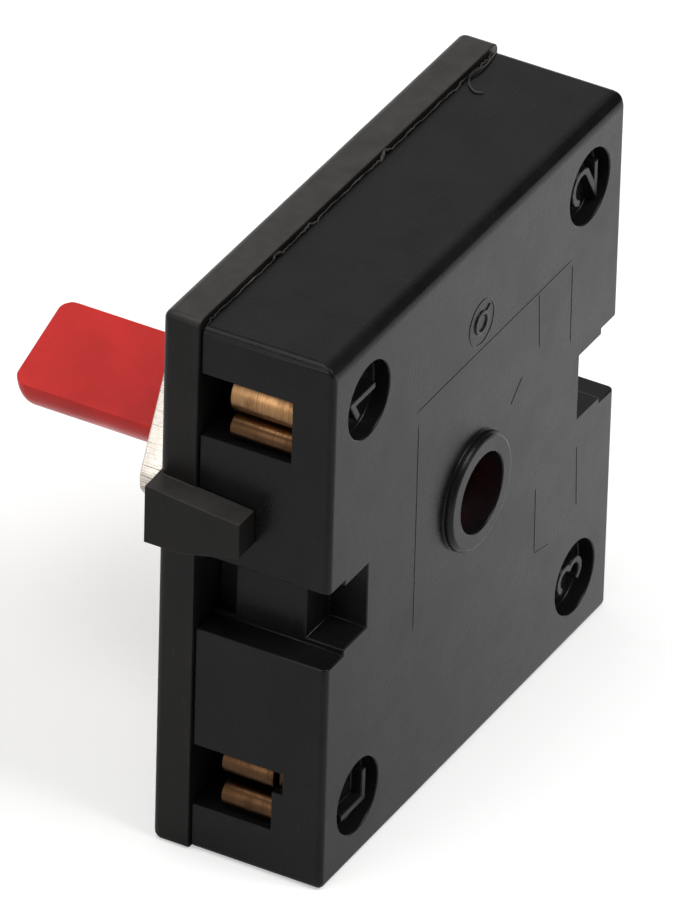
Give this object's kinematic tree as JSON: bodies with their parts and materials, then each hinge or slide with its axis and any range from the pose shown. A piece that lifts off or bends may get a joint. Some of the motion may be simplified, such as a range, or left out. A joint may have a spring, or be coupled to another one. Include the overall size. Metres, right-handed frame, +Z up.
{
  "type": "rotary fan switch",
  "caption": "Flat rotary selector switch with side wire terminals, rear bearing ring, threaded bushing, nut and D-shaped spindle.",
  "frame": {"origin": "under the middle of the whole switch, in the plane of its narrow bottom face", "axes": "+Z up along the numbered face, +Y along the spindle from the numbered face to the spindle's tip, +X to the right as seen from the numbered face"},
  "size_m": [0.0356, 0.0274, 0.0338],
  "materials": {
    "black_plastic": "satin moulded, fine grain",
    "red_plastic": "satin moulded",
    "nylon": "natural, slightly waxy",
    "brass": "stamped sheet, as rolled",
    "copper": "sprung copper alloy strip, as rolled",
    "silver": "silver contact rivet",
    "nickel": "bright nickel plate on turned brass",
    "steel": "spring steel, drawn"
  },
  "bodies": {
    "casing": {"housing": "black_plastic", "cover": "black_plastic", "bushing": "nickel", "mounting_nut": "nickel", "terminal_1": "brass", "terminal_2": "brass", "terminal_3": "brass", "terminal_L": "brass", "contact_1": "silver", "contact_2": "silver", "contact_3": "silver"},
    "turning": {"spindle": "red_plastic", "rotor": "nylon", "wiper": "copper", "wiper_contact_outer": "silver", "wiper_contact_inner": "silver", "wiper_spring_1": "steel", "wiper_spring_2": "steel", "detent_ball_1": "steel", "detent_ball_2": "steel", "detent_spring_1": "steel", "detent_spring_2": "steel"}
  },
  "joints": [
    {"name": "spindle_turn", "type": "hinge", "parent": "casing", "child": "turning", "pos_m": [0, -0.01325, 0.0167], "axis": [0, -1, 0], "range_deg": [0, 270]}
  ]
}
